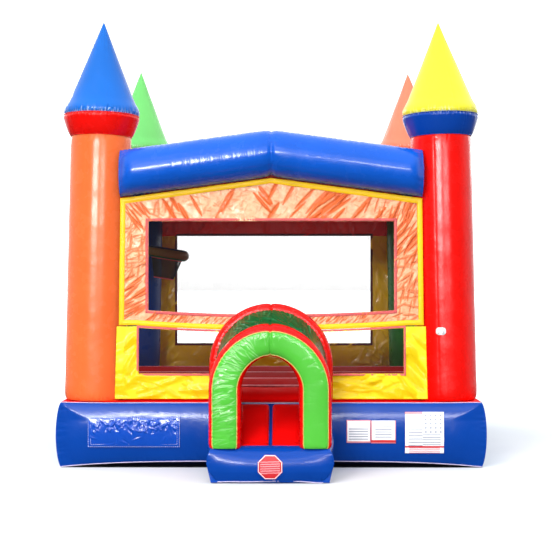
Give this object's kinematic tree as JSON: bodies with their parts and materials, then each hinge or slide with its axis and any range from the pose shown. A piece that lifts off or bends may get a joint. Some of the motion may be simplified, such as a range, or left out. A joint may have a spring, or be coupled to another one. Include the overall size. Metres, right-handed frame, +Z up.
{
  "type": "inflatable bounce house",
  "caption": "Square inflatable castle with turrets at the corners, mesh windows, a gabled front and an arched entry tunnel over a padded step, for children to jump in.",
  "frame": {"origin": "on the ground, under the middle of the overall length and width", "axes": "+X to the right seen from the entrance, +Y from the entrance to the rear, +Z up"},
  "size_m": [3.996, 5.78, 4.1446],
  "materials": {
    "blue_vinyl": "glossy coated fabric",
    "red_vinyl": "glossy coated fabric",
    "orange_vinyl": "glossy coated fabric",
    "yellow_vinyl": "glossy coated fabric",
    "green_vinyl": "glossy coated fabric",
    "dark_green_vinyl": "glossy coated fabric",
    "floor_vinyl": "satin coated fabric",
    "underside_vinyl": "matte coated fabric",
    "black_net": "knotted safety net",
    "black_webbing": "woven webbing",
    "white_webbing": "woven webbing",
    "hem_tape": "stitched binding",
    "pale_piping": "welded piping",
    "clear_vinyl": "clear flexible sheet",
    "label_sheet": "printed sheet",
    "steel": "plated wire"
  },
  "bodies": {
    "root": {"base_front_wall": "blue_vinyl", "base_rear_wall": "blue_vinyl", "base_left_wall": "blue_vinyl", "base_right_wall": "blue_vinyl", "bounce_floor": "floor_vinyl", "base_underside": "underside_vinyl", "floor_baffles": "underside_vinyl", "step_block": "blue_vinyl", "step_pad_left": "red_vinyl", "step_pad_right": "red_vinyl", "entry_arch": "green_vinyl", "porch_arch": "red_vinyl", "tunnel_canopy": "dark_green_vinyl", "tunnel_side_left": "red_vinyl", "tunnel_side_right": "red_vinyl", "column_front_left": "orange_vinyl", "collar_front_left": "red_vinyl", "cone_front_left": "blue_vinyl", "column_front_right": "red_vinyl", "collar_front_right": "blue_vinyl", "cone_front_right": "yellow_vinyl", "column_rear_left": "blue_vinyl", "collar_rear_left": "yellow_vinyl", "cone_rear_left": "green_vinyl", "column_rear_right": "green_vinyl", "collar_rear_right": "red_vinyl", "cone_rear_right": "orange_vinyl", "front_beam": "blue_vinyl", "rear_beam": "blue_vinyl", "left_beam": "blue_vinyl", "right_beam": "blue_vinyl", "roof_cover": "red_vinyl", "banner_border": "yellow_vinyl", "front_banner": "orange_vinyl", "front_window_net": "black_net", "front_lower_panel_left": "yellow_vinyl", "front_lower_net_left": "black_net", "front_lower_panel_right": "yellow_vinyl", "front_lower_net_right": "black_net", "rear_header": "red_vinyl", "rear_panel": "yellow_vinyl", "rear_net": "black_net", "left_panel": "yellow_vinyl", "left_net": "black_net", "right_panel": "yellow_vinyl", "right_net": "black_net", "hoop_ring": "yellow_vinyl", "hoop_net": "black_net", "inflation_tube": "blue_vinyl", "zipper_tape": "black_webbing", "anchor_tab_front_left": "black_webbing", "anchor_tab_front_right": "black_webbing", "anchor_tab_rear_left": "black_webbing", "anchor_tab_rear_right": "black_webbing"},
    "zipper_slider": {"zipper_slider": "steel"},
    "zipper_flap": {"zipper_flap": "blue_vinyl"},
    "d_ring_front_left": {"d_ring_front_left": "steel"},
    "d_ring_front_right": {"d_ring_front_right": "steel"},
    "d_ring_rear_left": {"d_ring_rear_left": "steel"},
    "d_ring_rear_right": {"d_ring_rear_right": "steel"}
  },
  "joints": [
    {"name": "zipper_slide", "type": "slide", "parent": "root", "child": "zipper_slider", "axis": [1, 0, 0], "range_m": [0, 0.44]},
    {"name": "zipper_flap_hinge", "type": "hinge", "parent": "root", "child": "zipper_flap", "pos_m": [-0.85, 1.997, 0.36], "axis": [1, 0, 0], "range_deg": [0, 160]},
    {"name": "d_ring_hinge_front_left", "type": "hinge", "parent": "root", "child": "d_ring_front_left", "pos_m": [-1.99, -1.45, 0.13], "axis": [0, 1, 0], "range_deg": [0, 150]},
    {"name": "d_ring_hinge_front_right", "type": "hinge", "parent": "root", "child": "d_ring_front_right", "pos_m": [1.99, -1.45, 0.13], "axis": [0, -1, 0], "range_deg": [0, 150]},
    {"name": "d_ring_hinge_rear_left", "type": "hinge", "parent": "root", "child": "d_ring_rear_left", "pos_m": [-1.99, 1.45, 0.13], "axis": [0, 1, 0], "range_deg": [0, 150]},
    {"name": "d_ring_hinge_rear_right", "type": "hinge", "parent": "root", "child": "d_ring_rear_right", "pos_m": [1.99, 1.45, 0.13], "axis": [0, -1, 0], "range_deg": [0, 150]}
  ]
}
